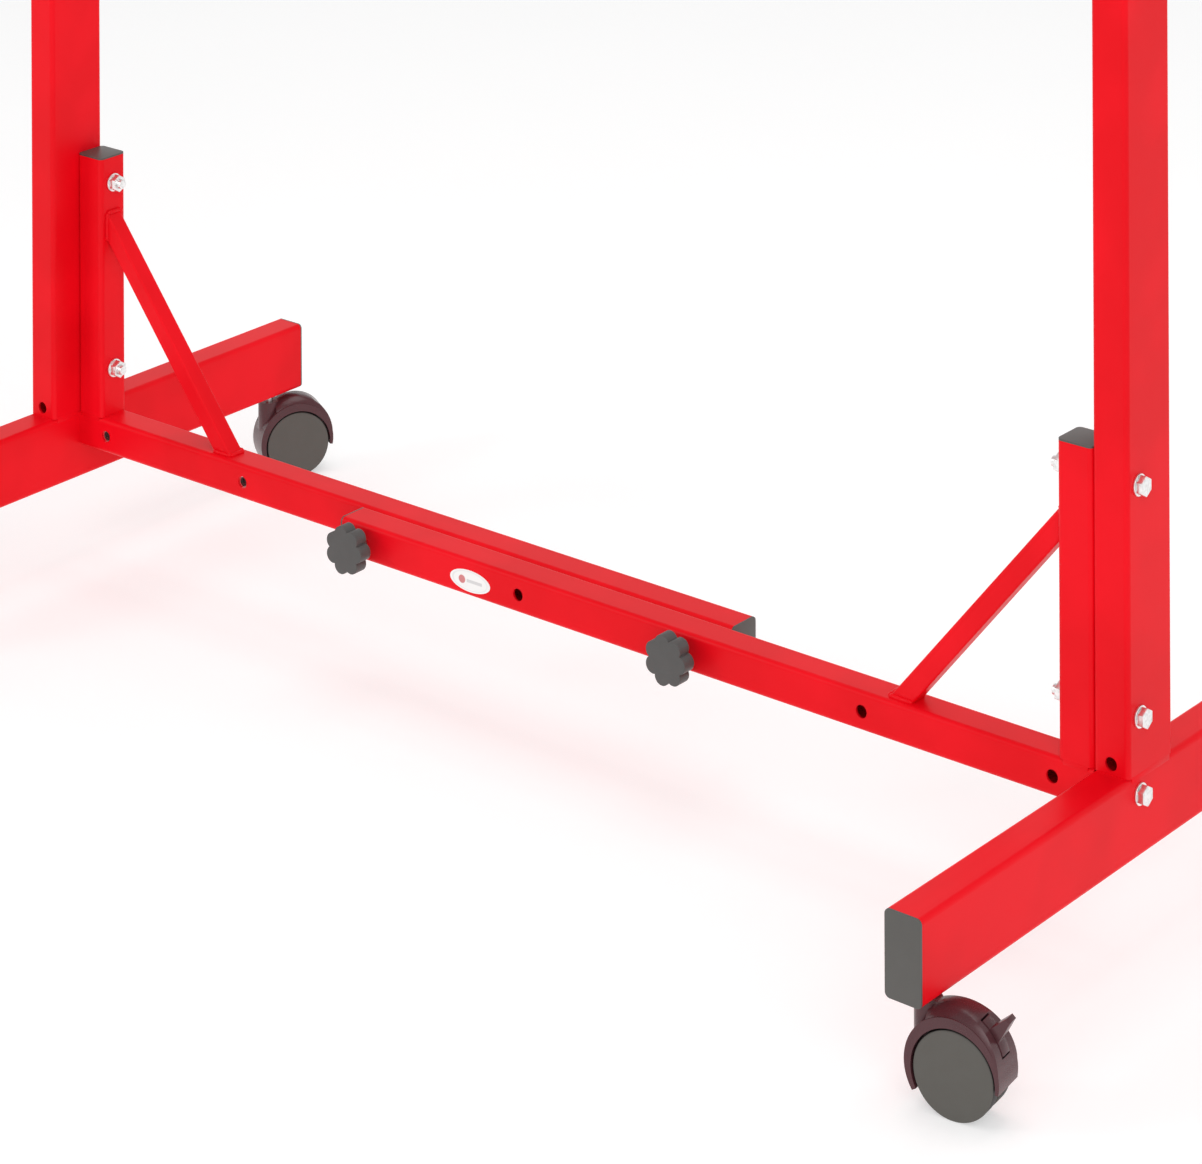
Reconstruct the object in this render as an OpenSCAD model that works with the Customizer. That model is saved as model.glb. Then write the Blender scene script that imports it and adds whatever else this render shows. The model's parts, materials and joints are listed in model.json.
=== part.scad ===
// Mobile tyre storage rack with an adjustable width.
//
// Two identical end frames stand on casters and face each other. Each has a foot, an upright, and a low
// side bar with its post and brace. The two side bars lie side by side, so the rack gets wider as they
// slide, and two star knobs lock them. Two tiers of telescopic rails above carry the tyres.
//
// X runs along the rack, from the left frame to the right. The front is -Y, and the floor is z = 0.

/* [Tubes] */
// Width of every frame tube, and both sides of the square ones
tube_w = 30; // [28:1:34]
// Deep side of the feet and the uprights
tube_d = 60; // [56:1:70]
// Wall of every frame tube
wall = 2; // [1.5:0.5:2.5]
// Outer corner radius of the frame tubes
corner_r = 4; // [3:0.5:5]
// Side of the square brace tube
brace_w = 16; // [12:1:20]

/* [Frame] */
// Clear distance between the uprights as drawn
inner_width = 1090; // [1060:10:1110]
// Length of a foot over its end caps
foot_length = 580; // [520:10:700]
// Height of a foot's underside above the floor
foot_z = 78; // [78:1:84]
// Height of the rack over the upright caps
rack_height = 1500; // [1480:10:1700]
// Height of a post above its bar
post_rise = 232; // [225:1:260]
// How far a brace's upper edge reaches along the bar
brace_run = 154; // [120:1:180]
// How far a brace's upper edge reaches up the post
brace_rise = 182; // [140:1:190]
// Gap between the two side bars, so that they slide
bar_gap = 0.4; // [0.2:0.1:1]

/* [Width setting] */
// Pitch of the holes along a side bar
hole_pitch = 170; // [160:5:175]
// Distance of a bar's first hole from its outer end
first_hole = 35; // [30:1:40]
// Distance of a bar's last hole from its free end
end_margin = 25; // [20:1:30]
// Diameter of the holes in the bars and uprights
hole_d = 10; // [9:0.5:11]

/* [Tyre rails] */
// Height of the lower rails' centre line
lower_tier_z = 775; // [760:5:800]
// Height of the upper rails' centre line
upper_tier_z = 1440; // [1400:5:1450]
// Distance from the middle to a rail's centre line
rail_y = 170; // [140:5:180]
// Length of a cross arm over its end caps
arm_length = 400; // [380:10:420]
// Side of the inner telescopic tube
inner_rail_w = 25; // [24:0.5:25]

/* [Knobs] */
// Diameter over a knob's lobes
knob_d = 40; // [36:1:44]
// Thickness of a knob's lobed rim
knob_rim = 12; // [10:0.5:12]
// Distance from the bar to a knob's front face, with the knob backed off
knob_stand = 24; // [24:0.5:26]

/* [Casters] */
// Diameter of a wheel
wheel_d = 60; // [56:1:60]
// Thickness of one wheel
wheel_t = 10.5; // [9:0.5:12]
// Distance from the swivel axis to the axle
trail = 25; // [25:1:26]
// Distance of a caster's swivel axis from the end of its foot
caster_inset = 30; // [28:1:36]

/* [Hidden] */
$fn = 48;

RED = "#e01c2c";
BLACK = "#2a2a2c";
DISC_GREY = "#4a4a48";
ZINC = "#c8ccd0";
WHITE = "#f0f0ee";

// Frame places, all for the right end frame. The left one is the same, turned half round.
inner_x = inner_width / 2;
upright_x = inner_x + tube_w / 2;
post_x = inner_x - tube_w / 2;
bar_y = -(tube_w + bar_gap) / 2;
bar_front_y = bar_y - tube_w / 2;
foot_top = foot_z + tube_d;
bar_bottom = foot_top - tube_w;
bar_z = bar_bottom + tube_w / 2;
post_top = foot_top + post_rise;
cap_t = 1.5;
plug_t = 12;
fit_gap = 0.15;

// Side bars
bar_length = first_hole + 4 * hole_pitch + end_margin;
bar_free_x = inner_x - bar_length;
end_plate_t = 6;

// Rails
rail_length = inner_width - 2 * tube_w - 2 * hole_pitch - 10;

// Fasteners
bolt_d = 8;
bolt_hole_d = 9;
hex_flats = 13;
bolt_head_h = 5.3;
washer_d = 16;
washer_t = 1.6;
nut_h = 6.8;
thread_stickout = 4;
thread_gap = 0.05;
upper_bolt_z = bar_bottom + 238;
middle_bolt_z = bar_bottom + 71.5;
foot_bolt_z = bar_bottom + 16;
arm_bolt_y = 15;
drain_hole_z = foot_top + 8;
weld_nut_d = 17;

// Knobs
knob_hub_t = 2;
knob_hub_d = 20;
knob_lobes = 7;
knob_lobe_r = 7;
knob_front_y = bar_front_y - knob_stand;
stud_tip_y = -1;
outer_knob_x = inner_x - first_hole - 4 * hole_pitch;
inner_knob_x = outer_knob_x + 2 * hole_pitch;

// Casters: local +X is the way the wheels trail, and the stem is at the local origin
wheel_r = wheel_d / 2;
stem_y = foot_length / 2 - caster_inset;
web_t = 6;
wheel_gap = 0.5;
hood_gap = 1.5;
hood_in_r = wheel_r + hood_gap;
hood_out_r = wheel_r + 5.5;
hood_shift = [-1, 3];
wheel_in_y = web_t / 2 + wheel_gap;
wheel_out_y = wheel_in_y + wheel_t;
hood_half_w = wheel_out_y + 0.5;
hood_front_deg = 209;
hood_rear_deg = -6;
crown_r = wheel_r + 6.5;
crown_shift = [-2.5, 7.5];
crown_from_x = 4;
barrel_r = wheel_r + 15.5;
barrel_rim_r = wheel_r + 6;
neck_r = 10;
neck_top = foot_z - 7;
neck_bottom = 44;
pin_r = 4;
pin_bottom = 56;
stem_r = 5.5;
stem_top = foot_z + 30;
shoulder_r = 7.5;
shoulder_h = 1.2;
socket_r = 9;
socket_h = 26;
axle_r = 3;
axle_half = wheel_out_y - 4;
run_gap = 0.06;
brake_deg = 47;
brake_half_deg = 18;
brake_half_w = 5;
brake_gap = 0.6;
brake_in_r = hood_in_r + 1;
brake_out_r = crown_r + 0.6;
brake_tab_r = wheel_r + 26;
brake_pin_r = 1.2;
brake_pin_at = wheel_r + 6;
brake_pin_half = brake_half_w + 3.5;
front_right_yaw = 7.5;
front_left_yaw = 225;
rear_left_yaw = 60;
rear_right_yaw = 33;

// Label
label_x = -51;
label_z = bar_z - 2;
label_l = 43;
label_h = 17.5;
label_t = 0.4;

// ---------------------------------------------------------------- shared shapes

// Places a thing of the right frame on the left one
module turned() {
    rotate([0, 0, 180]) children();
}

module rounded_rect(w, d, r) {
    square([w - 2 * r, d], center = true);
    square([w, d - 2 * r], center = true);
    for (x = [-1, 1], y = [-1, 1])
        translate([x * (w / 2 - r), y * (d / 2 - r)]) circle(r = r);
}

// A tube along +Z from z = 0
module box_tube(w, d, length, r = corner_r, t = wall) {
    linear_extrude(height = length)
        difference() {
            rounded_rect(w, d, r);
            rounded_rect(w - 2 * t, d - 2 * t, max(r - t, 0.5));
        }
}

module tube_along_x(x0, x1, w, d, r = corner_r, t = wall) {
    translate([x0, 0, 0]) rotate([90, 0, 90]) box_tube(w, d, x1 - x0, r, t);
}

module tube_along_y(y0, y1, w, d) {
    translate([0, y1, 0]) rotate([90, 0, 0]) box_tube(w, d, y1 - y0);
}

module hole_along_x(x, y, z, d, length) {
    translate([x, y, z]) rotate([0, 90, 0]) cylinder(d = d, h = length, center = true);
}

module hole_along_y(x, y, z, d, length) {
    translate([x, y, z]) rotate([90, 0, 0]) cylinder(d = d, h = length, center = true);
}

// An end cap with its plug, the plug pointing along -Z and the flange's back face at z = 0
module end_cap(w, d) {
    gap = wall + fit_gap;
    linear_extrude(height = cap_t) rounded_rect(w, d, corner_r);
    translate([0, 0, -plug_t])
        box_tube(w - 2 * gap, d - 2 * gap, plug_t, corner_r - wall, wall);
}

// ---------------------------------------------------------------- right end frame

module foot() {
    half = foot_length / 2 - cap_t;
    difference() {
        translate([upright_x, 0, foot_z + tube_d / 2]) tube_along_y(-half, half, tube_w, tube_d);
        hole_along_x(upright_x, bar_y, foot_bolt_z, bolt_hole_d, 2 * tube_w);
        for (y = [-stem_y, stem_y])
            translate([upright_x, y, foot_z - 1]) cylinder(r = stem_r, h = wall + 2);
    }
}

module upright() {
    difference() {
        translate([upright_x, 0, foot_top]) box_tube(tube_w, tube_d, rack_height - cap_t - foot_top);
        hole_along_y(upright_x, 0, drain_hole_z, hole_d, 2 * tube_d);
        for (z = [upper_bolt_z, middle_bolt_z])
            hole_along_x(upright_x, bar_y, z, bolt_hole_d, 2 * tube_w);
        for (y = [-arm_bolt_y, arm_bolt_y], z = [lower_tier_z, upper_tier_z])
            hole_along_x(upright_x, y, z, bolt_hole_d, 2 * tube_w);
    }
}

module post() {
    difference() {
        translate([post_x, bar_y, foot_top]) box_tube(tube_w, tube_w, post_top - cap_t - foot_top);
        for (z = [upper_bolt_z, middle_bolt_z])
            hole_along_x(post_x, bar_y, z, bolt_hole_d, 2 * tube_w);
    }
}

// The side bar, with the tapped plate welded in its outer end
module bar() {
    difference() {
        union() {
            translate([0, bar_y, bar_z]) tube_along_x(bar_free_x + cap_t, inner_x, tube_w, tube_w);
            translate([inner_x - end_plate_t / 2, bar_y, bar_z])
                cube([end_plate_t, tube_w - 2 * wall, tube_w - 2 * wall], center = true);
        }
        for (k = [0:4])
            hole_along_y(inner_x - first_hole - k * hole_pitch, bar_y, bar_z, hole_d, 2 * tube_w);
        hole_along_x(inner_x, bar_y, foot_bolt_z, bolt_d + 2 * thread_gap, 3 * end_plate_t);
    }
}

module brace() {
    angle = atan2(brace_rise, brace_run);
    x = inner_x - tube_w;
    far = 2 * brace_rise;
    intersection() {
        translate([x, bar_y, foot_top + brace_rise])
            rotate([0, 90 - angle, 0])
                translate([brace_w / 2, 0, -far + brace_w]) box_tube(brace_w, brace_w, far, 2, 1.5);
        translate([x - far, bar_y - brace_w, foot_top]) cube([far, 2 * brace_w, far]);
    }
}

module arm(z) {
    half = arm_length / 2 - cap_t;
    difference() {
        translate([post_x, 0, z]) tube_along_y(-half, half, tube_w, tube_w);
        for (y = [-arm_bolt_y, arm_bolt_y]) hole_along_x(post_x, y, z, bolt_hole_d, 2 * tube_w);
    }
}

module outer_rail(side, z) {
    translate([0, side * rail_y, z])
        tube_along_x(tube_w - inner_x, tube_w - inner_x + rail_length, tube_w, tube_w);
}

module inner_rail(side, z) {
    translate([0, side * rail_y, z])
        tube_along_x(inner_x - tube_w - rail_length, inner_x - tube_w, inner_rail_w, inner_rail_w, 3);
}

module wide_caps() {
    for (s = [-1, 1])
        translate([upright_x, s * (foot_length / 2 - cap_t), foot_z + tube_d / 2])
            rotate([-s * 90, 0, 0]) end_cap(tube_w, tube_d);
    translate([upright_x, 0, rack_height - cap_t]) end_cap(tube_w, tube_d);
}

module square_caps() {
    translate([post_x, bar_y, post_top - cap_t]) end_cap(tube_w, tube_w);
    translate([bar_free_x + cap_t, bar_y, bar_z]) rotate([0, -90, 0]) end_cap(tube_w, tube_w);
    for (s = [-1, 1], z = [lower_tier_z, upper_tier_z])
        translate([post_x, s * (arm_length / 2 - cap_t), z]) rotate([-s * 90, 0, 0])
            end_cap(tube_w, tube_w);
}

// ---------------------------------------------------------------- fasteners

// Each through bolt as [y, z]
through_bolts = [
    [bar_y, upper_bolt_z], [bar_y, middle_bolt_z],
    [-arm_bolt_y, lower_tier_z], [arm_bolt_y, lower_tier_z],
    [-arm_bolt_y, upper_tier_z], [arm_bolt_y, upper_tier_z]
];
outer_face = inner_x + tube_w;
nut_face = inner_x - tube_w;

// A hexagon bolt along -X from its head on the frame's outer face
module bolt(y, z, tip_x) {
    seat = outer_face + washer_t;
    translate([seat, y, z]) rotate([0, 90, 0])
        cylinder(d = hex_flats / cos(30), h = bolt_head_h, $fn = 6);
    translate([tip_x, y, z]) rotate([0, 90, 0]) cylinder(d = bolt_d, h = seat - tip_x);
}

module washer(x, y, z) {
    translate([x, y, z]) rotate([0, 90, 0])
        difference() {
            cylinder(d = washer_d, h = washer_t);
            translate([0, 0, -1]) cylinder(d = bolt_d + 2 * thread_gap, h = washer_t + 2);
        }
}

module nut(x, y, z) {
    translate([x, y, z]) rotate([0, 90, 0])
        difference() {
            cylinder(d = hex_flats / cos(30), h = nut_h, $fn = 6);
            translate([0, 0, -1]) cylinder(d = bolt_d + 2 * thread_gap, h = nut_h + 2);
        }
}

module bolts() {
    for (p = through_bolts) bolt(p[0], p[1], nut_face - washer_t - nut_h - thread_stickout);
    bolt(bar_y, foot_bolt_z, inner_x - end_plate_t - thread_stickout);
}

module washers() {
    for (p = through_bolts) {
        washer(outer_face, p[0], p[1]);
        washer(nut_face - washer_t, p[0], p[1]);
    }
    washer(outer_face, bar_y, foot_bolt_z);
}

module nuts() {
    for (p = through_bolts) nut(nut_face - washer_t - nut_h, p[0], p[1]);
}

// Round weld nuts behind the front wall of the left bar, one at each hole
module weld_nuts() {
    for (k = [0:4])
        translate([-inner_x + first_hole + k * hole_pitch, bar_gap / 2 + wall + nut_h, bar_z])
            rotate([90, 0, 0])
                difference() {
                    cylinder(d = weld_nut_d, h = nut_h);
                    translate([0, 0, -1]) cylinder(d = bolt_d + 2 * thread_gap, h = nut_h + 2);
                }
}

// ---------------------------------------------------------------- knobs and label

module knob_head(x) {
    translate([x, knob_front_y + knob_rim, bar_z]) rotate([90, 0, 0]) {
        difference() {
            linear_extrude(height = knob_rim) {
                circle(d = knob_d - 2 * knob_lobe_r);
                for (k = [0:knob_lobes - 1])
                    rotate(k * 360 / knob_lobes)
                        translate([knob_d / 2 - knob_lobe_r, 0]) circle(r = knob_lobe_r);
            }
            translate([0, 0, -1]) cylinder(d = bolt_d, h = knob_rim - 3);
        }
        translate([0, 0, -knob_hub_t])
            difference() {
                cylinder(d = knob_hub_d, h = knob_hub_t);
                translate([0, 0, -1]) cylinder(d = bolt_d, h = knob_hub_t + 2);
            }
    }
}

module knob_stud(x) {
    root_y = knob_front_y + 4;
    translate([x, stud_tip_y, bar_z]) rotate([90, 0, 0]) cylinder(d = bolt_d, h = stud_tip_y - root_y);
}

module label_oval() {
    steps = 48;
    translate([label_x, bar_front_y, label_z]) rotate([90, 0, 0])
        linear_extrude(height = label_t)
            polygon([for (i = [0:steps - 1])
                [label_l / 2 * cos(i * 360 / steps), label_h / 2 * sin(i * 360 / steps)]]);
}

// ---------------------------------------------------------------- casters

// Places a caster's own pieces at its stem, turned to its yaw
module at_caster(x, y, yaw) {
    translate([x, y, 0]) rotate([0, 0, yaw]) children();
}

// Carries a 2D outline, drawn in X and Z about the axle, across the caster from y0 to y1
module across(y0, y1) {
    translate([trail, y1, wheel_r]) rotate([90, 0, 0]) linear_extrude(height = y1 - y0) children();
}

// A wedge of the plane between two angles
module wedge(from_deg, to_deg, r) {
    middle = (from_deg + to_deg) / 2;
    polygon([[0, 0], [r * cos(from_deg), r * sin(from_deg)], [r * cos(middle), r * sin(middle)],
        [r * cos(to_deg), r * sin(to_deg)]]);
}

// The hood's outline stands higher over the wheel than behind it
module hood_circle(r) {
    translate(hood_shift) circle(r = r);
}

// The outline of the crown over the middle of the hood, which rises to the neck
module crown_circle(r) {
    translate(crown_shift) circle(r = r);
}

// The barrel that rounds the crown down to the hood's two rims
module barrel() {
    rise = barrel_r - barrel_rim_r;
    arc_r = (pow(hood_half_w, 2) + pow(rise, 2)) / (2 * rise);
    translate([trail, 0, wheel_r]) rotate([90, 0, 0])
        rotate_extrude()
            intersection() {
                translate([barrel_r - arc_r, 0]) circle(r = arc_r);
                translate([0, -hood_half_w]) square([2 * barrel_r, 2 * hood_half_w]);
            }
}

module crown() {
    intersection() {
        across(-hood_half_w, hood_half_w)
            difference() {
                crown_circle(crown_r);
                wedge(hood_front_deg - 60, 360 + hood_rear_deg, 2 * crown_r);
            }
        barrel();
        translate([crown_from_x, -hood_half_w, 0]) cube([100, 2 * hood_half_w, 100]);
    }
}

// The part between the wheel's clearance and the crown's outline, from one angle to another
module crown_sector(r0, r1, from_deg, to_deg) {
    intersection() {
        difference() {
            crown_circle(r1);
            circle(r = r0);
        }
        wedge(from_deg, to_deg, 2 * r1);
    }
}

module caster_stem(y) {
    translate([upright_x, y, 0]) {
        translate([0, 0, pin_bottom]) cylinder(r = pin_r, h = foot_z - pin_bottom);
        translate([0, 0, foot_z - shoulder_h]) cylinder(r = shoulder_r, h = shoulder_h);
        translate([0, 0, foot_z - 0.5]) cylinder(r = stem_r - 0.05, h = stem_top - foot_z + 0.5);
    }
}

module caster_stems() {
    for (y = [-stem_y, stem_y]) caster_stem(y);
}

// The sleeves welded inside a foot to hold the stems
module stem_sockets() {
    for (y = [-stem_y, stem_y])
        translate([upright_x, y, foot_z + wall])
            difference() {
                cylinder(r = socket_r, h = socket_h);
                translate([0, 0, -1]) cylinder(r = stem_r, h = socket_h + 2);
            }
}

module caster_housing(braked) {
    difference() {
        union() {
            difference() {
                union() {
                    across(-hood_half_w, hood_half_w)
                        difference() {
                            hood_circle(hood_out_r);
                            circle(r = hood_in_r);
                            wedge(hood_front_deg, 360 + hood_rear_deg, 2 * hood_out_r);
                        }
                    crown();
                    translate([0, 0, neck_bottom]) cylinder(r = neck_r, h = neck_top - neck_bottom);
                }
                across(-hood_half_w - 1, hood_half_w + 1) circle(r = hood_in_r);
            }
            across(-web_t / 2, web_t / 2)
                difference() {
                    circle(r = hood_in_r + 0.5);
                    wedge(hood_front_deg, 360 + hood_rear_deg, 2 * hood_out_r);
                }
            across(-web_t / 2, web_t / 2) circle(r = 3 * axle_r);
        }
        translate([0, 0, pin_bottom - 0.5])
            cylinder(r = pin_r + run_gap, h = foot_z - pin_bottom);
        across(-wheel_out_y, wheel_out_y) circle(r = axle_r);
        if (braked) {
            from_deg = brake_deg - brake_half_deg - 2;
            to_deg = brake_deg + brake_half_deg + 2;
            across(-brake_half_w - brake_gap, brake_half_w + brake_gap)
                crown_sector(hood_in_r - 2, crown_r + 2, from_deg, to_deg);
            across(-brake_pin_half, brake_pin_half)
                rotate(brake_deg) translate([brake_pin_at, 0]) circle(r = brake_pin_r + run_gap);
        }
    }
}

module caster_axle() {
    across(-axle_half, axle_half) circle(r = axle_r);
}

// side is 1 for the wheel on the local +Y side, and -1 for the other
module caster_wheel(side) {
    y0 = side > 0 ? wheel_in_y : -wheel_out_y;
    bore_y0 = side > 0 ? wheel_in_y - 1 : -axle_half - 0.5;
    difference() {
        across(y0, y0 + wheel_t) circle(r = wheel_r);
        across(bore_y0, bore_y0 + axle_half - wheel_in_y + 1.5) circle(r = axle_r + run_gap);
    }
}

// A rocking brake lever with its tab, on two trunnions in the hood
module caster_brake() {
    across(-brake_half_w, brake_half_w) {
        crown_sector(brake_in_r, brake_out_r, brake_deg - brake_half_deg, brake_deg + brake_half_deg);
        rotate(brake_deg + 3)
            polygon([[brake_out_r, -6], [brake_out_r, 5], [brake_tab_r, 1.2], [brake_tab_r, -2.4]]);
    }
    across(-brake_pin_half + 0.3, brake_pin_half - 0.3)
        rotate(brake_deg) translate([brake_pin_at, 0]) circle(r = brake_pin_r);
}

module front_left() { at_caster(-upright_x, -stem_y, front_left_yaw) children(); }
module front_right() { at_caster(upright_x, -stem_y, front_right_yaw) children(); }
module rear_left() { at_caster(-upright_x, stem_y, rear_left_yaw) children(); }
module rear_right() { at_caster(upright_x, stem_y, rear_right_yaw) children(); }

// ---------------------------------------------------------------- nodes

module left_foot() color(RED) turned() foot();
module left_upright() color(RED) turned() upright();
module left_post() color(RED) turned() post();
module left_bar() color(RED) turned() bar();
module left_brace() color(RED) turned() brace();
module left_lower_arm() color(RED) turned() arm(lower_tier_z);
module left_upper_arm() color(RED) turned() arm(upper_tier_z);
module left_front_lower_rail() color(RED) outer_rail(-1, lower_tier_z);
module left_rear_lower_rail() color(RED) outer_rail(1, lower_tier_z);
module left_front_upper_rail() color(RED) outer_rail(-1, upper_tier_z);
module left_rear_upper_rail() color(RED) outer_rail(1, upper_tier_z);
module left_wide_caps() color(BLACK) turned() wide_caps();
module left_square_caps() color(BLACK) turned() square_caps();
module left_bolts() color(ZINC) turned() bolts();
module left_washers() color(ZINC) turned() washers();
module left_nuts() color(ZINC) turned() nuts();
module left_caster_stems() color(ZINC) turned() caster_stems();
module left_stem_sockets() color(ZINC) turned() stem_sockets();
module bar_weld_nuts() color(ZINC) weld_nuts();

module right_foot() color(RED) foot();
module right_upright() color(RED) upright();
module right_post() color(RED) post();
module right_bar() color(RED) bar();
module right_brace() color(RED) brace();
module right_lower_arm() color(RED) arm(lower_tier_z);
module right_upper_arm() color(RED) arm(upper_tier_z);
module right_front_lower_rail() color(RED) inner_rail(-1, lower_tier_z);
module right_rear_lower_rail() color(RED) inner_rail(1, lower_tier_z);
module right_front_upper_rail() color(RED) inner_rail(-1, upper_tier_z);
module right_rear_upper_rail() color(RED) inner_rail(1, upper_tier_z);
module right_wide_caps() color(BLACK) wide_caps();
module right_square_caps() color(BLACK) square_caps();
module right_bolts() color(ZINC) bolts();
module right_washers() color(ZINC) washers();
module right_nuts() color(ZINC) nuts();
module right_caster_stems() color(ZINC) caster_stems();
module right_stem_sockets() color(ZINC) stem_sockets();
module label() color(WHITE) label_oval();

module outer_knob_head() color(BLACK) knob_head(outer_knob_x);
module outer_knob_stud() color(ZINC) knob_stud(outer_knob_x);
module inner_knob_head() color(BLACK) knob_head(inner_knob_x);
module inner_knob_stud() color(ZINC) knob_stud(inner_knob_x);

module front_left_housing() color(BLACK) front_left() caster_housing(true);
module front_left_axle() color(ZINC) front_left() caster_axle();
module front_left_outer_wheel() color(DISC_GREY) front_left() caster_wheel(1);
module front_left_inner_wheel() color(DISC_GREY) front_left() caster_wheel(-1);
module front_left_brake() color(BLACK) front_left() caster_brake();
module front_right_housing() color(BLACK) front_right() caster_housing(true);
module front_right_axle() color(ZINC) front_right() caster_axle();
module front_right_outer_wheel() color(DISC_GREY) front_right() caster_wheel(-1);
module front_right_inner_wheel() color(DISC_GREY) front_right() caster_wheel(1);
module front_right_brake() color(BLACK) front_right() caster_brake();
module rear_left_housing() color(BLACK) rear_left() caster_housing(false);
module rear_left_axle() color(ZINC) rear_left() caster_axle();
module rear_left_outer_wheel() color(DISC_GREY) rear_left() caster_wheel(1);
module rear_left_inner_wheel() color(DISC_GREY) rear_left() caster_wheel(-1);
module rear_right_housing() color(BLACK) rear_right() caster_housing(false);
module rear_right_axle() color(ZINC) rear_right() caster_axle();
module rear_right_outer_wheel() color(DISC_GREY) rear_right() caster_wheel(1);
module rear_right_inner_wheel() color(DISC_GREY) rear_right() caster_wheel(-1);

left_foot();
left_upright();
left_post();
left_bar();
left_brace();
left_lower_arm();
left_upper_arm();
left_front_lower_rail();
left_rear_lower_rail();
left_front_upper_rail();
left_rear_upper_rail();
left_wide_caps();
left_square_caps();
left_bolts();
left_washers();
left_nuts();
left_caster_stems();
left_stem_sockets();
bar_weld_nuts();
right_foot();
right_upright();
right_post();
right_bar();
right_brace();
right_lower_arm();
right_upper_arm();
right_front_lower_rail();
right_rear_lower_rail();
right_front_upper_rail();
right_rear_upper_rail();
right_wide_caps();
right_square_caps();
right_bolts();
right_washers();
right_nuts();
right_caster_stems();
right_stem_sockets();
label();
outer_knob_head();
outer_knob_stud();
inner_knob_head();
inner_knob_stud();
front_left_housing();
front_left_axle();
front_left_outer_wheel();
front_left_inner_wheel();
front_left_brake();
front_right_housing();
front_right_axle();
front_right_outer_wheel();
front_right_inner_wheel();
front_right_brake();
rear_left_housing();
rear_left_axle();
rear_left_outer_wheel();
rear_left_inner_wheel();
rear_right_housing();
rear_right_axle();
rear_right_outer_wheel();
rear_right_inner_wheel();
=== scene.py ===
"""The looks of a mobile tyre storage rack.

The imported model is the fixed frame. Its tubes keep their shape and get their finish here. Caps,
fasteners, knobs, housings and levers are replaced by softened copies, the wheels by remodelled
ones, and the welds are added.
"""
from __future__ import annotations

import json
import logging
import math
from dataclasses import dataclass
from enum import Enum
from typing import Any, Callable, Iterable, Sequence

import bmesh
import bpy
import numpy as np
from mathutils import Matrix, Vector

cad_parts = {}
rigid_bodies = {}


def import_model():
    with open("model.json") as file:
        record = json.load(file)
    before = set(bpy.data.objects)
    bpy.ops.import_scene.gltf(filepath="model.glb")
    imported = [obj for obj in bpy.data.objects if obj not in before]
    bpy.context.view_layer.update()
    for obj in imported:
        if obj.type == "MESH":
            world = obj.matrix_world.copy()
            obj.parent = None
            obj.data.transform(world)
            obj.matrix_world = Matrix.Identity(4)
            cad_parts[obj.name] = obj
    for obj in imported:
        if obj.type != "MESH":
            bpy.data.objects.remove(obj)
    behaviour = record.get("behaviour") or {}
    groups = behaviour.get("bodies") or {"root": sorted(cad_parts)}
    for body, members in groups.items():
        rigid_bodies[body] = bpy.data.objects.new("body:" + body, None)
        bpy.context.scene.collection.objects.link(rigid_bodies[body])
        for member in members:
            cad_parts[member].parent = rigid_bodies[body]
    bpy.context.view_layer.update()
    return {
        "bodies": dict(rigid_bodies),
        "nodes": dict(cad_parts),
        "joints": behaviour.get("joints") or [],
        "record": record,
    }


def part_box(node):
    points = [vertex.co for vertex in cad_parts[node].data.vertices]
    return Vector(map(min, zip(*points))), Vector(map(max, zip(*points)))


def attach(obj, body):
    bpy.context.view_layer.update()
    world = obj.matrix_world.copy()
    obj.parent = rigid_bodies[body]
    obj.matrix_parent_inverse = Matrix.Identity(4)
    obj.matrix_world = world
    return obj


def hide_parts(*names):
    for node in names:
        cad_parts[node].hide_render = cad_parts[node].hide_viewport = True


log = logging.getLogger("tyre_rack")

MM = 0.001
Point = tuple[float, float, float]
Colour = tuple[float, float, float]
Span = tuple[float, float]


class Domain(Enum):
    """What part of a mesh is selected in edit mode."""

    EDGE = "edges"
    FACE = "faces"


class Side(Enum):
    """The two end frames of the rack."""

    LEFT = "left"
    RIGHT = "right"

    @property
    def body(self) -> str:
        """Name of the body that the end frame moves with."""
        return f"{self.value}_frame"

    @property
    def out(self) -> float:
        """Sign of X that points away from the middle of the rack."""
        return -1.0 if self is Side.LEFT else 1.0


# ---------------------------------------------------------------- shader maths


@dataclass(frozen=True)
class Link:
    """A shader value that Python operators combine into Math nodes."""

    tree: "Finish"
    socket: Any

    def _math(self, operation: str, *values: Any) -> "Link":
        """Adds a Math node.

        Args:
            operation: What the node does.
            values: Its operands, in order.

        Returns:
            The result.
        """
        return self.tree.add("ShaderNodeMath", {"operation": operation}, dict(enumerate(values)))

    def __add__(self, other: Any) -> "Link":
        """Sum of the two values."""
        return self._math("ADD", self, other)

    def __radd__(self, other: Any) -> "Link":
        """Sum of the two values."""
        return self._math("ADD", other, self)

    def __sub__(self, other: Any) -> "Link":
        """Difference of the two values."""
        return self._math("SUBTRACT", self, other)

    def __rsub__(self, other: Any) -> "Link":
        """Difference of the two values, the other first."""
        return self._math("SUBTRACT", other, self)

    def __mul__(self, other: Any) -> "Link":
        """Product of the two values."""
        return self._math("MULTIPLY", self, other)

    def __rmul__(self, other: Any) -> "Link":
        """Product of the two values."""
        return self._math("MULTIPLY", other, self)

    def root(self) -> "Link":
        """Square root of the value."""
        return self._math("SQRT", self)

    def step(self, start: float, end: float) -> "Link":
        """Makes a smooth rise from 0 to 1.

        Args:
            start: Value up to which the result is 0.
            end: Value from which the result is 1.

        Returns:
            The result.
        """
        return self.tree.add(
            "ShaderNodeMapRange",
            {"interpolation_type": "SMOOTHSTEP"},
            {"Value": self, "From Min": start, "From Max": end, "To Min": 0.0, "To Max": 1.0},
        )


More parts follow.
